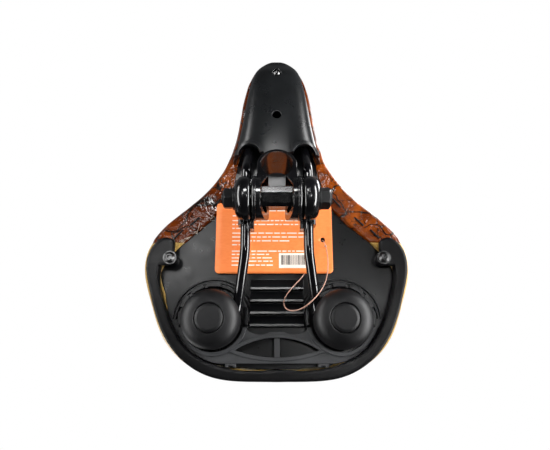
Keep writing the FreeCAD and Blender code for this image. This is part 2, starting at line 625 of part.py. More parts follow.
def all_parts():
    cover, panel, foam = make_soft_parts()
    rail = make_rail()
    dome, plug, body = make_spring(rail)
    parts = {"post_collar": make_collar(), "clamp_spacer": make_spacer()}
    parts["clamp_bolt"] = rod_y(BOLT_R, -BOLT_HALF, BOLT_HALF, BOLT_X, BOLT_Z)
    parts.update(both("inner_plate", make_inner_plate()))
    parts.update(both("outer_plate", make_outer_plate()))
    washer = rod_y(8.0, *WASHER_Y, BOLT_X, BOLT_Z).cut(rod_y(BOLT_R, 0, 60, BOLT_X, BOLT_Z))
    parts.update(both("clamp_washer", washer))
    parts.update({"clamp_nut_left": make_nut(52), "clamp_nut_right": mirrored(make_nut(80))})
    parts.update(both("rail", rail))
    parts["nose_sleeve"] = make_sleeve()
    parts.update(both("spring_dome", dome))
    parts.update(both("spring_plug", plug))
    parts.update(both("spring_body", body))
    parts.update({"cover_printed": cover, "cover_side": panel, "foam_pad": foam})
    parts.update({"base_pan": make_base(), "pivot_block": make_pivot_block(), "nose_cover": make_nose_cover()})
    parts["nose_screw"] = button_screw(2.7, 1.6, 1.5, 9.0, NOSE_SCREW_X, 0, 24.6)
    parts.update({"bumper": make_bumper(), "rear_bracket": make_rear_bracket()})
    screw = button_screw(4.0, 2.4, 2.0, 9.0, SCREW_X, SCREW_Y, BUMPER_LOW - 1.0)
    parts.update(both("bumper_screw", screw))
    parts.update(both("bumper_washer", tube_z(4.9, 2.0, BUMPER_LOW - 1.0, BUMPER_LOW, SCREW_X, SCREW_Y)))
    parts.update({"clip_left": make_clip(1), "clip_right": make_clip(-1)})
    places = [((-9.8, 45.8), 141), ((-24.6, 62.2), 134), ((-34.4, 73.8), 138)]
    for index, (middle, along) in enumerate(places, 1):
        parts.update(both(f"staple_{index}", make_staple(middle, along)))
    thread, knot = make_thread()
    parts.update({"tag_card": make_card(), "tag_thread": thread, "tag_knot": knot})
    parts["tag_glue"] = rod_z(4.0, CARD_Z[1], CARD_Z[1] + 1.2, -30.0, -8.0)
    return parts


def main():
    os.makedirs("parts", exist_ok=True)
    for name, shape in all_parts().items():
        shape.exportStep(f"parts/{name}.step")
        size = shape.BoundBox
        state = "" if len(shape.Solids) == 1 and shape.isValid() else f"  CHECK solids {len(shape.Solids)}"
        print(f"{name:20s} volume {shape.Volume:10.1f} x {size.XMin:7.1f} {size.XMax:7.1f} y {size.YMin:7.1f} "
              f"{size.YMax:7.1f} z {size.ZMin:6.1f} {size.ZMax:6.1f}{state}")


main()
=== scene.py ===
import bpy, bmesh, json, math, random
import numpy as np
from mathutils import Matrix, Vector, noise


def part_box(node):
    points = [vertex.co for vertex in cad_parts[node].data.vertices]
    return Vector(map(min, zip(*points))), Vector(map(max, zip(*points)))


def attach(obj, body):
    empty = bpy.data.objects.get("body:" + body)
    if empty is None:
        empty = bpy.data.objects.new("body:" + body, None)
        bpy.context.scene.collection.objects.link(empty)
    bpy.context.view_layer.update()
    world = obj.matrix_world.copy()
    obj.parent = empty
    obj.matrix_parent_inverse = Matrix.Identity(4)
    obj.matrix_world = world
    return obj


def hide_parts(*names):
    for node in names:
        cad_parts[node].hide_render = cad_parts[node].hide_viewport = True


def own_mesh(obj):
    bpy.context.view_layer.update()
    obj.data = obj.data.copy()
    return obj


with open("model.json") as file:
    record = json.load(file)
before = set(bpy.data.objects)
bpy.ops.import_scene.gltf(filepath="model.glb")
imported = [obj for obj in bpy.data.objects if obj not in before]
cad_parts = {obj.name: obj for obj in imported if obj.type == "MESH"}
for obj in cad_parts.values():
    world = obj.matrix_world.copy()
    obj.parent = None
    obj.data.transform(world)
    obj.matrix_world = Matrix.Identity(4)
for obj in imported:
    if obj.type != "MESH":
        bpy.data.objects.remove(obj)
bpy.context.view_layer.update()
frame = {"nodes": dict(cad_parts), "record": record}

MM = 0.001
scene = bpy.context.scene


# ---- helpers ----------------------------------------------------------------------------------

def add_object(name, data):
    obj = bpy.data.objects.new(name, data)
    scene.collection.objects.link(obj)
    return obj


def smooth_faces(mesh):
    mesh.polygons.foreach_set("use_smooth", [True] * len(mesh.polygons))


def mesh_object(name, verts, faces, flat=False):
    """An object from points in metres and faces."""
    mesh = bpy.data.meshes.new(name)
    mesh.from_pydata([tuple(float(c) for c in v) for v in verts], [], faces)
    mesh.validate()
    mesh.update()
    if not flat:
        smooth_faces(mesh)
    return add_object(name, mesh)


def bmesh_object(name, bm):
    """An object from a bmesh, which is freed."""
    mesh = bpy.data.meshes.new(name)
    bm.to_mesh(mesh)
    bm.free()
    smooth_faces(mesh)
    return add_object(name, mesh)


def ring_grid(rows):
    """Points and faces over rows of points, each row a full turn."""
    count = len(rows[0])
    verts = [p for row in rows for p in row]
    faces = []
    for r in range(len(rows) - 1):
        this, following = r * count, (r + 1) * count
        faces += [(this + k, this + (k + 1) % count, following + (k + 1) % count, following + k)
                  for k in range(count)]
    return verts, faces


def end_caps(count, total):
    """Faces that close the first and the last ring of a grid."""
    return [tuple(range(count - 1, -1, -1)), tuple(range(total - count, total))]


def turns(count):
    """Angles of a full turn in equal steps."""
    return [math.tau * k / count for k in range(count)]


def ease(t):
    """A smooth step from 0 to 1."""
    t = max(0.0, min(1.0, t))
    return t * t * (3 - 2 * t)


def toward_rear(x, start, length):
    """0 in front of start, rising to 1 over this length rearwards."""
    return ease((start - x) / length)


def unit(v):
    return v / max(np.linalg.norm(v), 1e-6)


def waves(p, pitch, layer):
    """Smooth noise over the plan, from -1 to 1; each layer is a different pattern."""
    return noise.noise(Vector((p[0] * pitch, p[1] * pitch, layer)))


# ---- camera -----------------------------------------------------------------------------------
# The object is seen from below and behind, nose upwards.

CAMERA_AT = (-0.1224, -0.00135, -0.3201)
TILT = math.radians(15.0)

camera = add_object("camera", bpy.data.cameras.new("camera"))
scene.camera = camera
camera.data.sensor_width = 36.0
camera.data.lens = 31.75
camera.data.clip_start, camera.data.clip_end = 0.01, 20.0
look = Vector((math.sin(TILT), 0, math.cos(TILT)))
above = Vector((math.cos(TILT), 0, -math.sin(TILT)))
camera_axes = Matrix((look.cross(above), above, -look)).transposed()
camera.matrix_world = Matrix.Translation(CAMERA_AT) @ camera_axes.to_4x4()


# ---- stage and light --------------------------------------------------------------------------

FLOOR_Z, FLOOR_HALF = -0.78, 6
# (share of the way from the bottom of the room to its top, brightness)
ROOM_LIGHT = ((0.40, 0.010), (0.54, 0.04), (0.66, 0.14))

floor_corners = [(x * FLOOR_HALF, y * FLOOR_HALF, FLOOR_Z) for x, y in ((-1, -1), (1, -1), (1, 1), (-1, 1))]
floor = mesh_object("floor", floor_corners, [(0, 1, 2, 3)], flat=True)
floor.visible_diffuse = floor.visible_glossy = False


def area_light(name, at, towards, size, power, size_y=None):
    lamp = bpy.data.lights.new(name, "AREA")
    lamp.energy, lamp.size = power, size
    if size_y:
        lamp.shape, lamp.size_y = "RECTANGLE", size_y
    obj = add_object(name, lamp)
    obj.location = at
    obj.rotation_euler = (Vector(towards) - Vector(at)).to_track_quat("-Z", "Y").to_euler()
    return obj


area_light("strip_left", (0.04, 0.90, -0.31), (0.0, 0.0, 0.02), 1.4, 27.0, size_y=0.27)
area_light("strip_right", (0.04, -0.90, -0.31), (0.0, 0.0, 0.02), 1.4, 14.0, size_y=0.25)
soft_fill = area_light("soft_fill", (0.20, 0.26, -0.82), (-0.03, 0.0, 0.02), 0.34, 17.0)
soft_fill.visible_glossy = False
area_light("front_box", (0.37, -0.02, -0.80), (0.02, 0.0, 0.0), 0.13, 3.6)
area_light("spot_left", (-0.055, 0.175, -0.734), (-0.09, 0.04, 0.0), 0.08, 0.55)
area_light("spot_right", (0.10, -0.205, -0.69), (-0.05, -0.06, 0.0), 0.14, 0.75)
area_light("top_key", (0.5, 0.9, 1.3), (0, 0, 0.05), 0.9, 16.0)
area_light("top_fill", (-0.8, -0.8, 1.1), (0, 0, 0.05), 1.1, 10.0)


def studio_world():
    """A room that is dim below and lighter above, with a plain white backdrop."""
    world = bpy.data.worlds.new("studio")
    world.use_nodes = True
    tree = world.node_tree
    tree.nodes.clear()

    def node(kind):
        return tree.nodes.new("ShaderNode" + kind)

    where, split, height, ramp = node("TexCoord"), node("SeparateXYZ"), node("MapRange"), node("ValToRGB")
    room, backdrop = node("Background"), node("Background")
    path, blend, output = node("LightPath"), node("MixShader"), node("OutputWorld")
    height.inputs["From Min"].default_value = -1.0
    height.inputs["From Max"].default_value = 1.0
    backdrop.inputs["Color"].default_value = (1, 1, 1, 1)
    elements = ramp.color_ramp.elements
    elements.new(0.5)
    for element, (at, level) in zip(elements, ROOM_LIGHT):
        element.position = at
        element.color = (level, level, level * 1.03, 1)
    for source, target in ((where.outputs["Generated"], split.inputs["Vector"]),
                           (split.outputs["Z"], height.inputs["Value"]),
                           (height.outputs["Result"], ramp.inputs["Fac"]),
                           (ramp.outputs["Color"], room.inputs["Color"]),
                           (path.outputs["Is Camera Ray"], blend.inputs["Fac"]),
                           (room.outputs["Background"], blend.inputs[1]),
                           (backdrop.outputs["Background"], blend.inputs[2]),
                           (blend.outputs["Shader"], output.inputs["Surface"])):
        tree.links.new(source, target)
    return world


scene.world = studio_world()
scene.view_settings.view_transform = "Standard"


# ---- materials --------------------------------------------------------------------------------

class Shader:
    """A small wrapper that builds one Principled material node by node."""

    def __init__(self, name):
        self.material = bpy.data.materials.new(name)
        self.material.use_nodes = True
        self.tree = self.material.node_tree
        self.bsdf = self.tree.nodes["Principled BSDF"]
        self.where = self.tree.nodes.new("ShaderNodeTexCoord").outputs["Object"]

    def set(self, **values):
        for key, value in values.items():
            self.bsdf.inputs[key.replace("_", " ")].default_value = value

    def put(self, source, target):
        """Links a socket, or sets a plain value."""
        if isinstance(source, bpy.types.NodeSocket):
            self.tree.links.new(source, target)
        else:
            target.default_value = source

    def math(self, operation, *values, clamp=False):
        node = self.tree.nodes.new("ShaderNodeMath")
        node.operation, node.use_clamp = operation, clamp
        for value, socket in zip(values, node.inputs):
            self.put(value, socket)
        return node.outputs[0]

    def stretch(self, scale):
        """Object coordinates scaled along each axis."""
        node = self.tree.nodes.new("ShaderNodeMapping")
        node.inputs["Scale"].default_value = scale
        self.put(self.where, node.inputs["Vector"])
        return node.outputs[0]

    def noise(self, scale, detail=3.0, rough=0.55, distort=0.0, vector=None, color=False):
        node = self.tree.nodes.new("ShaderNodeTexNoise")
        self.put(vector or self.where, node.inputs["Vector"])
        settings = {"Scale": scale, "Detail": detail, "Roughness": rough, "Distortion": distort}
        for key, value in settings.items():
            node.inputs[key].default_value = value
        return node.outputs["Color" if color else "Fac"]

    def cells(self, scale):
        """Distance to the nearest cell's middle."""
        node = self.tree.nodes.new("ShaderNodeTexVoronoi")
        self.put(self.where, node.inputs["Vector"])
        node.inputs["Scale"].default_value = scale
        return node.outputs["Distance"]

    def cracks(self, scale, warp, warp_scale):
        """Distance to the nearest border between cells, over coordinates pushed about by noise."""
        push = self.tree.nodes.new("ShaderNodeVectorMath")
        push.operation = "MULTIPLY_ADD"
        self.put(self.noise(warp_scale, 2.0, color=True), push.inputs[0])
        push.inputs[1].default_value = (warp,) * 3
        self.put(self.where, push.inputs[2])
        node = self.tree.nodes.new("ShaderNodeTexVoronoi")
        node.feature = "DISTANCE_TO_EDGE"
        self.put(push.outputs[0], node.inputs["Vector"])
        node.inputs["Scale"].default_value = scale
        return node.outputs["Distance"]

    def ramp(self, source, *stops):
        """A blend through (position, value) stops; a value is a number or a colour."""
        node = self.tree.nodes.new("ShaderNodeValToRGB")
        self.put(source, node.inputs["Fac"])
        elements = node.color_ramp.elements
        while len(elements) < len(stops):
            elements.new(0.5)
        for element, (at, value) in zip(elements, stops):
            element.position = at
            element.color = (*value, 1) if isinstance(value, tuple) else (value, value, value, 1)
        return node.outputs["Color"]

    def mix(self, share, a, b):
        node = self.tree.nodes.new("ShaderNodeMix")
        node.data_type = "RGBA"
        self.put(share, node.inputs["Factor"])
        for value, socket in ((a, node.inputs[6]), (b, node.inputs[7])):
            self.put((*value, 1) if isinstance(value, tuple) else value, socket)
        return node.outputs[2]

    def color(self, source):
        self.put(source, self.bsdf.inputs["Base Color"])

    def rough(self, source):
        self.put(source, self.bsdf.inputs["Roughness"])

    def soften(self, radius_mm):
        """Rounds the look of hard edges."""
        node = self.tree.nodes.new("ShaderNodeBevel")
        node.samples = 6
        node.inputs["Radius"].default_value = radius_mm * MM
        self.put(node.outputs["Normal"], self.bsdf.inputs["Normal"])
        return self

    def normal(self):
        return self.bsdf.inputs["Normal"].links[0].from_socket

    def bump(self, height, depth_mm, strength=1.0):
        """Adds relief on top of whatever the normal already has."""
        node = self.tree.nodes.new("ShaderNodeBump")
        node.inputs["Strength"].default_value = strength
        node.inputs["Distance"].default_value = depth_mm * MM
        self.put(height, node.inputs["Height"])
        if self.bsdf.inputs["Normal"].is_linked:
            self.put(self.normal(), node.inputs["Normal"])
        self.put(node.outputs["Normal"], self.bsdf.inputs["Normal"])


def moulded(name, tone, low, high, grain_mm=0.02, fine=1300.0, edge_mm=0.7, shine=0.5):
    """Moulded plastic: spark-eroded grain and a cloudy tone; low and high bound the roughness."""
    s = Shader(name).soften(edge_mm)
    dusty = tuple(c * 1.7 + 0.002 for c in tone)
    s.color(s.mix(s.ramp(s.noise(38.0, 4.0), (0.35, 0.0), (0.75, 1.0)), tone, dusty))
    s.rough(s.ramp(s.noise(90.0, 3.0), (0.3, low), (0.75, high)))
    s.set(Specular_IOR_Level=shine)
    s.bump(s.noise(fine, 1.0), grain_mm, 0.5)
    return s.material


def coated_steel(name, tone, low, high):
    """Thick gloss paint over steel, with a slight orange peel."""
    s = Shader(name).soften(0.7)
    dusty = tuple(c * 1.8 + 0.001 for c in tone)
    s.color(s.mix(s.ramp(s.noise(60.0, 3.0), (0.4, 0.0), (0.8, 1.0)), tone, dusty))
    s.rough(s.ramp(s.noise(140.0, 4.0), (0.35, low), (0.8, high)))
    s.set(Coat_Weight=0.42, Coat_Roughness=0.10, Specular_IOR_Level=0.4)
    s.bump(s.noise(300.0, 2.0), 0.03, 0.2)
    s.bump(s.noise(45.0, 2.0), 0.15, 0.15)
    return s.material


def printed_vinyl():
    """Glossy vinyl printed like brown leather: broken crackle lines, ink blots, shaded plates, wrinkles."""
    s = Shader("printed_vinyl")
    lines = s.math("MULTIPLY", s.ramp(s.cracks(38.0, 0.020, 48.0), (0.013, 1.0), (0.030, 0.0)),
                   s.ramp(s.noise(52.0, 3.0, 0.6), (0.33, 0.0), (0.39, 1.0)))
    fine = s.math("MULTIPLY", s.ramp(s.cracks(105.0, 0.012, 110.0), (0.010, 1.0), (0.036, 0.0)),
                  s.ramp(s.noise(42.0, 3.0, 0.6, 1.0), (0.46, 0.0), (0.52, 1.0)))
    blots = s.ramp(s.noise(88.0, 5.0, 0.72, 1.6), (0.60, 0.0), (0.63, 1.0))
    shade = s.ramp(s.noise(30.0, 4.0, 0.6, 0.8), (0.30, (0.036, 0.0052, 0.0003)),
                   (0.48, (0.092, 0.0150, 0.0006)), (0.68, (0.240, 0.0480, 0.0020)))
    dark = s.math("MAXIMUM", s.math("MAXIMUM", lines, fine), blots, clamp=True)
    s.color(s.mix(dark, shade, (0.008, 0.005, 0.004)))
    s.rough(s.ramp(s.noise(120.0, 3.0), (0.3, 0.24), (0.7, 0.36)))
    s.set(Coat_Weight=0.36, Coat_Roughness=0.11, Specular_IOR_Level=0.06)
    s.bump(s.math("SUBTRACT", 1.0, s.math("MAXIMUM", lines, s.math("MULTIPLY", fine, 0.6))), 0.18, 0.8)
    s.bump(s.noise(75.0, 3.0, 0.6, 0.8, vector=s.stretch((1.0, 1.0, 2.2))), 2.4, 0.6)
    s.bump(s.noise(260.0, 3.0), 0.08, 0.5)
    s.put(s.normal(), s.bsdf.inputs["Coat Normal"])
    return s.material


def side_vinyl():
    """Ochre vinyl with a fine leather grain."""
    s = Shader("side_vinyl")
    shade = s.ramp(s.noise(45.0, 4.0), (0.30, (0.40, 0.235, 0.045)), (0.70, (0.56, 0.36, 0.085)))
    creases = s.ramp(s.cracks(620.0, 0.002, 500.0), (0.0, 0.0), (0.12, 1.0))
    s.color(s.mix(s.ramp(creases, (0.0, 0.55), (1.0, 0.0)), shade, (0.22, 0.12, 0.02)))
    s.rough(s.ramp(s.noise(160.0, 3.0), (0.3, 0.34), (0.7, 0.50)))
    s.set(Coat_Weight=0.15, Coat_Roughness=0.3)
    s.bump(creases, 0.12, 0.8)
    return s.material


def rubber():
    """Matt black elastomer with patches of dust."""
    s = Shader("elastomer_rubber").soften(0.5)
    dust = s.ramp(s.noise(22.0, 5.0, 0.65), (0.45, 0.0), (0.80, 1.0))
    s.color(s.mix(dust, (0.0025, 0.0025, 0.003), (0.008, 0.008, 0.009)))
    s.rough(s.ramp(s.noise(200.0, 3.0), (0.3, 0.44), (0.75, 0.52)))
    s.set(Specular_IOR_Level=0.36)
    s.bump(s.noise(1500.0, 2.0), 0.05)
    return s.material


def bright_steel(name, tone, low, high):
    """Plated steel with dull spots."""
    s = Shader(name).soften(0.3)
    s.set(Metallic=1.0)
    s.color(s.mix(s.ramp(s.noise(300.0, 4.0), (0.4, 0.0), (0.7, 1.0)), tone, tuple(c * 0.45 for c in tone)))
    s.rough(s.ramp(s.noise(500.0, 3.0), (0.3, low), (0.8, high)))
    s.bump(s.noise(900.0, 2.0), 0.05)
    return s.material


def card_stock():
    """Orange card with faint fibres."""
    s = Shader("card_stock")
    fibre = s.noise(800.0, 4.0, vector=s.stretch((1.0, 0.35, 1.0)))
    s.color(s.mix(s.ramp(fibre, (0.35, 0.0), (0.75, 1.0)), (0.88, 0.215, 0.050), (0.93, 0.255, 0.068)))
    s.rough(s.ramp(s.noise(60.0, 3.0), (0.3, 0.50), (0.7, 0.62)))
    s.set(Specular_IOR_Level=0.3)
    s.bump(fibre, 0.02, 0.6)
    return s.material


def ink(name, tone):
    """Printed colour, slightly uneven."""
    s = Shader(name)
    s.color(s.mix(s.ramp(s.noise(2500.0, 2.0), (0.45, 0.0), (0.75, 1.0)), tone, tuple(c * 0.8 for c in tone)))
    s.rough(s.ramp(s.noise(300.0), (0.3, 0.4), (0.7, 0.55)))
    return s.material


def thread_fibre():
    """Twisted brown thread."""
    s = Shader("thread_fibre")
    twist = s.noise(2200.0, 2.0, vector=s.stretch((1.0, 2.5, 1.0)))
    s.color(s.mix(s.ramp(twist, (0.35, 0.0), (0.65, 1.0)), (0.30, 0.13, 0.085), (0.55, 0.33, 0.24)))
    s.rough(s.ramp(twist, (0.3, 0.35), (0.7, 0.6)))
    s.set(Sheen_Weight=0.3)
    s.bump(twist, 0.06)
    return s.material


def loose_fibre(name, mottle, dark, light, low, high):
    """Matt fibres with a mottled tone."""
    s = Shader(name)
    s.color(s.mix(s.noise(mottle), dark, light))
    s.rough(s.ramp(s.noise(1500.0), (0.3, low), (0.7, high)))
    return s.material


def foam_skin():
    """Open-cell foam."""
    s = Shader("foam_skin")
    cells = s.cells(900.0)
    s.color(s.mix(s.ramp(cells, (0.1, 0.0), (0.7, 1.0)), (0.72, 0.68, 0.56), (0.55, 0.50, 0.38)))
    s.rough(s.ramp(s.noise(200.0), (0.3, 0.85), (0.7, 0.95)))
    s.bump(cells, 0.25)
    return s.material


def floor_paint():
    s = Shader("floor_paint")
    s.color(s.mix(s.noise(3.0), (0.80, 0.80, 0.79), (0.84, 0.84, 0.83)))
    s.rough(0.7)
    s.set(Emission_Color=(1, 1, 1, 1), Emission_Strength=0.45)
    return s.material


MATERIALS = {
    "steel_black": coated_steel("gloss_black_steel", (0.003, 0.003, 0.0035), 0.16, 0.30),
    "fastener_black": coated_steel("black_oxide_steel", (0.003, 0.0032, 0.0036), 0.42, 0.56),
    "rail_black": coated_steel("rail_gloss_paint", (0.002, 0.002, 0.0025), 0.07, 0.18),
    "sleeve_plastic": moulded("sleeve_plastic", (0.008, 0.008, 0.008), 0.45, 0.6),
    "elastomer": rubber(),
    "printed_vinyl": printed_vinyl(),
    "side_vinyl": side_vinyl(),
    "foam": foam_skin(),
    "pan_plastic": moulded("pan_plastic", (0.0012, 0.0014, 0.0018), 0.27, 0.36, grain_mm=0.03, shine=0.42),
    "bracket_plastic": moulded("bracket_plastic", (0.028, 0.029, 0.031), 0.38, 0.50,
                               grain_mm=0.10, fine=1100.0, edge_mm=0.6),
    "nose_plastic": moulded("nose_plastic", (0.0045, 0.0050, 0.0055), 0.26, 0.34,
                            grain_mm=0.015, edge_mm=0.9),
    "bumper_plastic": moulded("bumper_plastic", (0.0016, 0.0016, 0.0019), 0.28, 0.37,
                              grain_mm=0.03, edge_mm=3.4, shine=0.22),
    "fastener_silver": bright_steel("zinc_steel", (0.14, 0.14, 0.14), 0.28, 0.42),
    "staple_steel": moulded("staple_wire", (0.002, 0.0018, 0.0018), 0.55, 0.70, edge_mm=0.1, shine=0.2),
    "tag_card": card_stock(),
    "tag_thread": thread_fibre(),
    "glue": ink("glue_spot", (0.6, 0.58, 0.5)),
    "stitch_thread": loose_fibre("stitch_thread", 3000.0, (0.10, 0.06, 0.03), (0.22, 0.14, 0.07), 0.5, 0.7),
    "backing_thread": loose_fibre("backing_thread", 900.0, (0.42, 0.36, 0.30), (0.62, 0.56, 0.48), 0.6, 0.8),
    "white_ink": ink("white_ink", (0.92, 0.80, 0.70)),
    "black_ink": ink("black_ink", (0.02, 0.02, 0.02)),
}
SLOT_OF = {entry["node"]: entry["material_slot"] for entry in frame["record"]["subparts"]}


def dress(obj, material):
    obj.data.materials.clear()
    obj.data.materials.append(MATERIALS[material])


floor.data.materials.append(floor_paint())
for node, obj in frame["nodes"].items():
    for index in range(max(1, len(obj.material_slots))):
        if len(obj.material_slots) <= index:
            obj.data.materials.append(None)
        obj.material_slots[index].material = MATERIALS[SLOT_OF[node]]


# ---- the thread -------------------------------------------------------------------------------
# Millimetres: out of the card's hole, round the loop, and back up behind the card.

THREAD = [
    (-39.3, 34.2, 35.3), (-39.6, 34.6, 31.8), (-45.0, 36.2, 29.9), (-55.0, 37.4, 27.2), (-67.4, 35.7, 17.8),
    (-78.2, 31.5, 6.4), (-87.6, 24.0, 1.6), (-93.9, 15.0, 5.0), (-93.6, 6.3, 12.0), (-86.0, 3.9, 20.2),
    (-76.6, 10.0, 26.6), (-67.6, 18.4, 33.9), (-57.0, 25.6, 35.5), (-46.0, 31.4, 35.0),
]
THREAD_RADIUS = 0.35

curve = bpy.data.curves.new("tag_thread_line", "CURVE")
curve.dimensions = "3D"
curve.bevel_depth, curve.bevel_resolution, curve.resolution_u = THREAD_RADIUS * MM, 3, 12
line = curve.splines.new("NURBS")
line.points.add(len(THREAD) - 1)
for point, (x, y, z) in zip(line.points, THREAD):
    point.co = (x * MM, y * MM, z * MM, 1)
line.order_u, line.use_endpoint_u = 3, True
thread = add_object("tag_thread_line", curve)
dress(thread, "tag_thread")


# ---- shape of the padded seat -----------------------------------------------------------------
# Left half of each plan line, from the nose to the rear, in millimetres.

OUTLINE = [
    (115.4, 0.0), (109.8, 13.8), (95.6, 22.9), (60.0, 30.2), (32.0, 36.6), (10.0, 48.0), (-16.0, 74.0),
    (-37.0, 94.5), (-57.0, 100.5), (-84.0, 94.6), (-112.0, 83.4), (-131.0, 63.0), (-139.6, 32.0),
    (-141.5, 0.0),
]
HEM = [
    (104.0, 0.0), (98.0, 11.0), (80.0, 17.0), (55.0, 22.4), (25.0, 30.0), (-3.0, 35.5), (-22.0, 48.0),
    (-42.0, 70.5), (-52.0, 80.0), (-66.0, 86.4), (-79.0, 84.4), (-92.6, 80.2), (-106.0, 74.0), (-115.8, 66.2),
    (-124.4, 53.4), (-129.2, 37.0), (-130.8, 18.0), (-131.0, 0.0),
]
HEM_Z, SEAM_X, SEAM_Z = 35.1, -41.0, 57.0
# A spoke runs from a foot on the centre line to the rim; the foot follows the rim's x by this share.
FOOT_MIDDLE, RIM_MIDDLE, FOOT_FOLLOWS = -15, -12, 0.55
# Each height or width has its value at the nose and what it gains towards the rear.
WIDEST_Z, WIDEST_GAIN = 47, 6
CROWN_Z, CROWN_GAIN = 70, 17
TUCK, TUCK_GAIN = 3.0, 4.5
CROWN_POWER = 2 / 2.35


class Loop:
    """A smooth closed plan line through a left half and its mirror image."""

    def __init__(self, half):
        points = np.array(half + [(x, -y) for x, y in half[-2:0:-1]] + [half[0]])
        steps = np.linalg.norm(np.diff(points, axis=0), axis=1)
        self.knots = np.concatenate([[0], np.cumsum(steps)])
        n = len(steps)
        matrix, right = np.zeros((n, n)), np.zeros((n, 2))
        for i in range(n):
            h0, h1 = steps[i - 1], steps[i]
            matrix[i, i - 1] += h0
            matrix[i, i] += 2 * (h0 + h1)
            matrix[i, (i + 1) % n] += h1
            before = points[i - 1 if i else n - 1]
            right[i] = 6 * ((points[i + 1] - points[i]) / h1 - (points[i] - before) / h0)
        bend = np.linalg.solve(matrix, right)
        self.points, self.bend = points, np.vstack([bend, bend[:1]])
        self.rear, self.total = self.knots[len(half) - 1], self.knots[-1]

    def at(self, u):
        """u runs from the nose 0 round the left side to the rear 0.5 and back to 1."""
        u %= 1.0
        t = 2 * u * self.rear if u <= 0.5 else self.rear + (2 * u - 1) * (self.total - self.rear)
        i = min(int(np.searchsorted(self.knots, t, "right")) - 1, len(self.knots) - 2)
        h = self.knots[i + 1] - self.knots[i]
        a, b = (self.knots[i + 1] - t) / h, (t - self.knots[i]) / h
        return (a * self.points[i] + b * self.points[i + 1]
                + ((a ** 3 - a) * self.bend[i] + (b ** 3 - b) * self.bend[i + 1]) * h * h / 6)


RIM, HEM_LINE = Loop(OUTLINE), Loop(HEM)


def seat_point(u, s, inset, low):
    """s is -1 where the cover turns under, 0 at the widest line, 1 on the centre line."""
    edge = RIM.at(u)
    foot_x = FOOT_MIDDLE + FOOT_FOLLOWS * (edge[0] - RIM_MIDDLE)
    spoke = edge - np.array([foot_x, 0.0])
    length = float(np.linalg.norm(spoke))
    reach, away = length - inset, spoke / length
    wide = WIDEST_Z + WIDEST_GAIN * toward_rear(edge[0], -20, 110)
    crown = CROWN_Z + CROWN_GAIN * toward_rear(foot_x, 20, 100) - inset
    if s <= 0:
        a = (1 + s) * math.pi / 2
        tuck = TUCK + TUCK_GAIN * toward_rear(edge[0], 40, 70)
        out = reach - tuck * (1 - math.sin(a))
        z = wide - (wide - low) * math.cos(a)
    else:
        b = (1 - s) * math.pi / 2
        out = reach * math.sin(b) ** CROWN_POWER
        z = wide + (crown - wide) * max(math.cos(b), 0.0) ** CROWN_POWER
    return np.array([foot_x + away[0] * out, away[1] * out, z])


# ---- the cover --------------------------------------------------------------------------------

AROUND, HEM_ROWS = 240, 7
UPWARD = [-1 + k / 10 for k in range(10)] + [k / 20 for k in range(21)]
COVER_THICK = 1.2
SEAM_DEPTH, SEAM_WIDTH, FAR_FROM_SEAM = 0.7, 1.6, 9.0
UPPER_Z = 60.0
HEM_RAGGED, HEM_FOLD, HEM_SLIPPED, HEM_NARROWED = 0.9, 0.16, 2.8, 3.0
FLAP_Y, FLAP_HALF, SLIP_X, SLIP_HALF = 43, 6, -80, 13


def hem_point(u, k):
    """A point on the turned-under hem; k counts the rows from the cut edge to where the cover turns up."""
    first, last = HEM_LINE.at(u), seat_point(u, -1, 0, HEM_Z)[:2]
    ragged = HEM_RAGGED * waves(first, 0.16, 3.0) if k == 0 else 0.0
    # The hem is narrow round the rear, but for one flap; it is wide where it has slipped on the right.
    flap = math.exp(-((first[1] - FLAP_Y) / FLAP_HALF) ** 2)
    narrow = toward_rear(first[0], -112, 12) * (1 - 1.5 * flap)
    slipped = math.exp(-((first[0] - SLIP_X) / SLIP_HALF) ** 2) if first[1] < 0 else 0.0
    first = first + unit(first - last) * (HEM_SLIPPED * slipped - HEM_NARROWED * narrow)
    p = first + (last - first) * (k / HEM_ROWS) + unit(first - last) * ragged
    fold = HEM_FOLD * waves(p, 0.11, 7.0) * math.sin(math.pi * k / HEM_ROWS)
    return np.array([p[0], p[1], HEM_Z - 0.15 + fold])


def cover_point(u, s):
    """A point on the cover above the hem, gathered near the edge, soft on top and pulled in at the seams."""
    p = seat_point(u, s, 0.0, HEM_Z)
    out = unit(p - seat_point(u, s, 2.0, HEM_Z))
    pull = math.exp(-((s + 0.75) / 0.33) ** 2)
    gather = waves(p, 0.14, 1.0) * 0.55 - 0.25
    soft = waves(p, 0.03, 5.0) * 0.25 - 0.2
    gap = min(abs(p[2] - SEAM_Z) if p[0] < SEAM_X else FAR_FROM_SEAM,
              abs(p[0] - SEAM_X) if p[2] < SEAM_Z else FAR_FROM_SEAM)
    seam = -SEAM_DEPTH * math.exp(-(gap / SEAM_WIDTH) ** 2)
    return p + out * (gather * pull + soft * max(0.0, s) + seam)


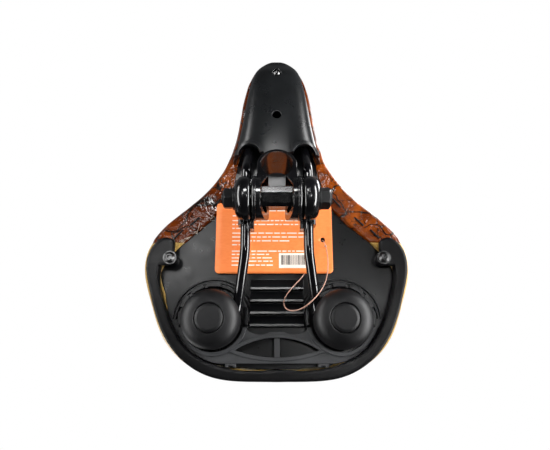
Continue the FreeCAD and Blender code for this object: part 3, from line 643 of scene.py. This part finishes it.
def split_cover():
    """Cuts the cover along its seams into the printed panel and the side panel."""
    shares = [k / AROUND for k in range(AROUND)]
    rows = [[hem_point(u, k) for u in shares] for k in range(HEM_ROWS)]
    rows += [[cover_point(u, s) for u in shares] for s in UPWARD]
    verts, faces = ring_grid(rows)
    seam_planes = (((SEAM_X * MM, 0, 0), (1, 0, 0)), ((0, 0, SEAM_Z * MM), (0, 0, 1)))
    pieces = []
    for name, keep_side in (("seat_cover", False), ("side_panel", True)):
        bm = bmesh.new()
        added = [bm.verts.new(v * MM) for v in verts]
        for face in faces:
            bm.faces.new([added[k] for k in face])
        bmesh.ops.remove_doubles(bm, verts=bm.verts, dist=0.05 * MM)
        for point, normal in seam_planes:
            bmesh.ops.bisect_plane(bm, geom=bm.verts[:] + bm.edges[:] + bm.faces[:], dist=1e-7,
                                   plane_co=point, plane_no=normal)
        drop = []
        for face in bm.faces:
            c = face.calc_center_median()
            in_side = c.x < SEAM_X * MM and c.z < SEAM_Z * MM
            if in_side != keep_side:
                drop.append(face)
        bmesh.ops.delete(bm, geom=drop, context="FACES")
        bmesh.ops.recalc_face_normals(bm, faces=bm.faces)
        obj = bmesh_object(name, bm)
        if sum(p.normal.z * p.area for p in obj.data.polygons if p.center.z > UPPER_Z * MM) < 0:
            obj.data.flip_normals()
        solid = obj.modifiers.new("thickness", "SOLIDIFY")
        solid.thickness, solid.offset = COVER_THICK * MM, -1.0
        pieces.append(obj)
    return pieces


cover, side_panel = split_cover()
dress(cover, "printed_vinyl")
dress(side_panel, "side_vinyl")


# ---- the foam ---------------------------------------------------------------------------------

FOAM_AROUND, FOAM_INSET, FOAM_BASE = 120, 2.6, 39.4


def foam_piece():
    """The foam inside the cover, closed below by a fan."""
    rows = [[seat_point(k / FOAM_AROUND, s, FOAM_INSET, FOAM_BASE) for k in range(FOAM_AROUND)]
            for s in UPWARD[::2] + [1.0]]
    verts, faces = ring_grid(rows)
    verts.append(np.array([-20.0, 0.0, FOAM_BASE]))
    faces += [((k + 1) % FOAM_AROUND, k, len(verts) - 1) for k in range(FOAM_AROUND)]
    return mesh_object("foam_core", [v * MM for v in verts], faces)


foam = foam_piece()
dress(foam, "foam")


# ---- seam stitching ---------------------------------------------------------------------------

STITCH_PITCH, STITCH_HALF, STITCH_THICK, STITCH_RISE = 3.1, 1.15, 0.28, 2.2
STITCH_SAMPLES, SEAM_BREAK = 2400, 3.0


def seam_marks():
    """Points just above the seam of the side panel, in order round the rim."""
    marks = []
    for k in range(STITCH_SAMPLES):
        u = k / STITCH_SAMPLES
        low, high = 0.0, 0.6
        for _ in range(18):
            middle = (low + high) / 2
            below = seat_point(u, middle, 0, HEM_Z)[2] < SEAM_Z + STITCH_RISE
            low, high = (middle, high) if below else (low, middle)
        p = seat_point(u, low, -0.15, HEM_Z)
        if p[0] < SEAM_X:
            marks.append(p)
    return marks


def seam_stitches():
    """A row of short thread stitches along the seam."""
    bm = bmesh.new()
    marks = seam_marks()
    walked = 0.0
    for a, b in zip(marks, marks[1:]):
        step = float(np.linalg.norm(b - a))
        if step > SEAM_BREAK:
            continue
        walked += step
        if walked < STITCH_PITCH:
            continue
        walked = 0.0
        turn = Vector(b - a).normalized().to_track_quat("X", "Z").to_matrix().to_4x4()
        for v in bmesh.ops.create_uvsphere(bm, u_segments=6, v_segments=5, radius=1.0)["verts"]:
            stitch = Vector((v.co.x * STITCH_HALF, v.co.y * STITCH_THICK, v.co.z * STITCH_THICK))
            v.co = (turn @ stitch + Vector(a)) * MM
    return bmesh_object("seam_stitches", bm)


stitches = seam_stitches()
dress(stitches, "stitch_thread")


# ---- loose backing threads at the hem's cut edge ----------------------------------------------

FRAY_LOOSE, FRAY_BUNCHED, FRAY_STEPS, FRAY_RADIUS = 16, 14, 7, 0.11
FRAY_ALONG, FRAY_BUNCH = (0.205, 0.262), (0.256, 0.263)


def hem_fray():
    """Pale strands of the vinyl's backing, loose along the right hem and bunched at its rear end."""
    rng = random.Random(5)
    verts, faces = [], []
    for k in range(FRAY_LOOSE + FRAY_BUNCHED):
        bunch = k >= FRAY_LOOSE
        u = 1 - rng.uniform(*(FRAY_BUNCH if bunch else FRAY_ALONG))
        edge, onward = HEM_LINE.at(u), HEM_LINE.at(u + 0.004)
        along = (onward - edge) / np.linalg.norm(onward - edge)
        inward = np.array([-along[1], along[0]])
        if inward @ (np.array([-40.0, 0.0]) - edge) < 0:
            inward = -inward
        start = edge - inward * rng.uniform(0.3, 2.4 if bunch else 1.2)
        heading = along * rng.choice((-1, 1)) * rng.uniform(0.5, 1.0) + inward * rng.uniform(-0.5, 0.8)
        across = np.array([-heading[1], heading[0]])
        length, curl = rng.uniform(1.6, 5.0), rng.uniform(-1.4, 1.4)
        rows = []
        for j in range(FRAY_STEPS + 1):
            t = j / FRAY_STEPS
            p = start + heading * length * t + across * curl * t * t
            z = HEM_Z - 0.45 - (1.6 if bunch else 0.7) * math.sin(math.pi * t) * rng.uniform(0.8, 1.0)
            rows.append([(p[0] + FRAY_RADIUS * math.cos(a), p[1] + FRAY_RADIUS * math.sin(a),
                          z + FRAY_RADIUS * math.sin(a + 1)) for a in turns(5)])
        first = len(verts)
        more, quads = ring_grid(rows)
        verts += more
        faces += [tuple(first + i for i in quad) for quad in quads]
    return mesh_object("hem_fray", [tuple(c * MM for c in v) for v in verts], faces)


fray = hem_fray()
dress(fray, "backing_thread")


# ---- staples ----------------------------------------------------------------------------------

STAPLE_HALF, STAPLE_HALF_WIDE, STAPLE_HALF_HIGH = 4.7, 0.72, 0.40
STAPLE_SHOULDER, STAPLE_RISE, STAPLE_SIDES = 0.78, 0.7, 10


def staple(name, node):
    """A wire crown lying on the hem, its shoulders turning in."""
    low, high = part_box(node)
    middle = (Vector(low) + Vector(high)) / 2
    half_x, half_y = (high[0] - low[0]) / 2, (high[1] - low[1]) / 2
    slope = -1.0 if middle.y > 0 else 1.0
    along = Vector((half_x, slope * half_y, 0)).normalized()
    across = Vector((-along.y, along.x, 0))
    rows = []
    for k in range(17):
        t = -1 + k / 8
        rise = STAPLE_RISE * MM * max(0.0, (abs(t) - STAPLE_SHOULDER) / (1 - STAPLE_SHOULDER)) ** 2
        centre = Vector((middle.x, middle.y, high[2] - 0.55 * MM + rise)) + along * (t * STAPLE_HALF * MM)
        rows.append([centre + across * (STAPLE_HALF_WIDE * MM * math.cos(a))
                     + Vector((0, 0, STAPLE_HALF_HIGH * MM * math.sin(a))) for a in turns(STAPLE_SIDES)])
    verts, faces = ring_grid(rows)
    faces += end_caps(STAPLE_SIDES, len(verts))
    obj = mesh_object(name, verts, faces)
    dress(obj, "staple_steel")
    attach(obj, "shell")
    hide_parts(node)


for number in (1, 2, 3):
    for hand in ("left", "right"):
        staple(f"staple_wire_{number}_{hand}", f"staple_{number}_{hand}")


# ---- elastomer bodies -------------------------------------------------------------------------

BELLOWS_R, BELLOWS_WAIST, BELLOWS_TAPER = 20.1, 1.7, 0.3
BELLOWS_WAVES, BELLOWS_STEPS, BELLOWS_SIDES = 2, 44, 96


def bellows(hand):
    """The springing body: a turned shape with waists."""
    node = f"spring_body_{hand}"
    low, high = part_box(node)
    x, y = (low[0] + high[0]) / 2, (low[1] + high[1]) / 2
    rows = []
    for k in range(BELLOWS_STEPS + 1):
        t = k / BELLOWS_STEPS
        waist = 0.5 - 0.5 * math.cos(math.tau * BELLOWS_WAVES * t)
        r = (BELLOWS_R - BELLOWS_WAIST * waist ** 0.7 - BELLOWS_TAPER * t) * MM
        z = low[2] + (high[2] - low[2]) * t
        rows.append([(x + r * math.cos(a), y + r * math.sin(a), z) for a in turns(BELLOWS_SIDES)])
    verts, faces = ring_grid(rows)
    faces += end_caps(BELLOWS_SIDES, len(verts))
    piece = mesh_object(f"elastomer_bellows_{hand}", verts, faces)
    dress(piece, "elastomer")
    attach(piece, "rails")
    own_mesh(piece)
    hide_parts(node)


for hand in ("left", "right"):
    bellows(hand)


# ---- swing tag --------------------------------------------------------------------------------

CARD = [[v / MM for v in corner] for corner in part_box("tag_card")]
CARD_THICK, CARD_BELOW, CARD_CORNER = 0.34, 0.14, 3.0
HOLE, HOLE_R = (-39.3, 34.3), 1.75
CARD_ROWS = 16
# Rows of dashes: how far down the card, left end and right end, as shares of its face.
LINES = [
    (0.11, 0.40, 0.66), (0.185, 0.14, 0.20), (0.255, 0.14, 0.74), (0.31, 0.14, 0.76), (0.365, 0.14, 0.25),
    (0.435, 0.14, 0.76), (0.49, 0.14, 0.77), (0.545, 0.14, 0.64), (0.60, 0.14, 0.31), (0.69, 0.14, 0.78),
    (0.735, 0.14, 0.47), (0.785, 0.14, 0.48), (0.83, 0.14, 0.49), (0.885, 0.14, 0.49),
]
LINE_HALF, WORD_GAP = 0.0075, 0.012
PANEL = (0.542, 0.718, 0.838, 0.925)
BARS_LEFT, BARS_RIGHT, BARS_TOP, BARS_BOTTOM = 0.560, 0.82, 0.745, 0.880


def card_curl(x, y):
    """A slight warp of the card, millimetres."""
    fx = (x - CARD[0][0]) / (CARD[1][0] - CARD[0][0]) * 2 - 1
    fy = (y - CARD[0][1]) / (CARD[1][1] - CARD[0][1]) * 2 - 1
    return 0.10 * (fy * fy - 0.3) + 0.04 * fx * fy


def card_edge():
    """Points round the card's rounded outline, in order of their direction from the hole."""
    (x0, y0, _), (x1, y1, _) = CARD
    r = CARD_CORNER
    outline = []
    for cx, cy, start in ((x1 - r, y1 - r, 0), (x0 + r, y1 - r, 90),
                          (x0 + r, y0 + r, 180), (x1 - r, y0 + r, 270)):
        outline += [(cx + r * math.cos(math.radians(start + 15 * k)),
                     cy + r * math.sin(math.radians(start + 15 * k))) for k in range(7)]
    dense = []
    for a, b in zip(outline, outline[1:] + outline[:1]):
        count = max(1, int(math.dist(a, b) / 3))
        dense += [(a[0] + (b[0] - a[0]) * k / count, a[1] + (b[1] - a[1]) * k / count) for k in range(count)]
    return sorted(dense, key=lambda p: math.atan2(p[1] - HOLE[1], p[0] - HOLE[0]))


def card_piece():
    """The card as rows of points from the hole's edge out to its outline."""
    top = CARD[1][2] - CARD_BELOW
    edge = card_edge()
    rows = []
    for k in range(CARD_ROWS + 1):
        t = (k / CARD_ROWS) ** 1.3
        row = []
        for x, y in edge:
            angle = math.atan2(y - HOLE[1], x - HOLE[0])
            ax, ay = HOLE[0] + HOLE_R * math.cos(angle), HOLE[1] + HOLE_R * math.sin(angle)
            px, py = ax + (x - ax) * t, ay + (y - ay) * t
            row.append((px * MM, py * MM, (top + card_curl(px, py)) * MM))
        rows.append(row)
    obj = mesh_object("swing_tag", *ring_grid(rows))
    if sum(p.normal.z for p in obj.data.polygons) < 0:
        obj.data.flip_normals()
    solid = obj.modifiers.new("thickness", "SOLIDIFY")
    solid.thickness, solid.offset = CARD_THICK * MM, -1.0
    return obj


def card_marks(name, boxes, lift, material):
    """Flat printed marks under the card; each box is (left, top, right, bottom) in shares of its face."""
    (x0, y0, _), (x1, y1, z1) = CARD
    face_z = z1 - CARD_BELOW - CARD_THICK
    verts, faces = [], []
    for left, top, right, bottom in boxes:
        parts = max(1, int((right - left) * 14))
        for k in range(parts):
            a, b = left + (right - left) * k / parts, left + (right - left) * (k + 1) / parts
            first = len(verts)
            for fx, fy in ((a, top), (b, top), (b, bottom), (a, bottom)):
                y, x = y0 + fx * (y1 - y0), x1 - fy * (x1 - x0)
                verts.append((x * MM, y * MM, (face_z - lift + card_curl(x, y)) * MM))
            faces.append((first, first + 1, first + 2, first + 3))
    obj = mesh_object(name, verts, faces, flat=True)
    dress(obj, material)
    return obj


def dashes(rng):
    """Dashes of random length along each line; they stand for words and say nothing."""
    boxes = []
    for at, left, right in LINES:
        x = left
        while x < right - 0.01:
            width = min(rng.uniform(0.018, 0.085), right - x)
            boxes.append((x, at - LINE_HALF, x + width, at + LINE_HALF))
            x += width + WORD_GAP
    return boxes


def bars(rng):
    """Random bars that encode nothing."""
    boxes, x = [], BARS_LEFT
    while x < BARS_RIGHT:
        width = rng.choice((0.003, 0.003, 0.006, 0.009))
        boxes.append((x, BARS_TOP, x + width, BARS_BOTTOM))
        x += width + rng.choice((0.004, 0.004, 0.007))
    return boxes


card = card_piece()
dress(card, "tag_card")
tag_rng = random.Random(11)
marks = [card_marks("tag_lines", dashes(tag_rng), 0.03, "white_ink"),
         card_marks("tag_panel", [PANEL], 0.03, "white_ink"),
         card_marks("tag_bars", bars(tag_rng), 0.06, "black_ink")]


# ---- the thread's knot ------------------------------------------------------------------------

KNOT_LOW, KNOT_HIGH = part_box("tag_knot")
KNOT_AT = (Vector(KNOT_LOW) + Vector(KNOT_HIGH)) / 2
KNOT_STEPS, KNOT_SIDES, KNOT_WIRE = 60, 8, 0.30


def knot_path(t):
    """A trefoil round the knot's middle."""
    reach = 0.55 + 0.22 * math.cos(3 * t)
    return KNOT_AT + Vector((math.cos(2 * t) * reach, math.sin(2 * t) * reach, 0.42 * math.sin(3 * t))) * MM


def knot_piece():
    rows = []
    for t in turns(KNOT_STEPS):
        centre = knot_path(t)
        along = (knot_path(t + 0.05) - centre).normalized()
        one = along.orthogonal().normalized()
        two = along.cross(one)
        rows.append([centre + (one * math.cos(a) + two * math.sin(a)) * KNOT_WIRE * MM
                     for a in turns(KNOT_SIDES)])
    return mesh_object("tag_knot_wrap", *ring_grid(rows + rows[:1]))


knot = knot_piece()
dress(knot, "tag_thread")


# ---- what rides on what -----------------------------------------------------------------------

for piece in [cover, side_panel, foam, stitches, fray, card, knot, thread] + marks:
    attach(piece, "shell")
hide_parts("cover_printed")
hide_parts("cover_side")
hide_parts("foam_pad")
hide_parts("tag_card")
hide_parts("tag_thread")
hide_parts("tag_knot")
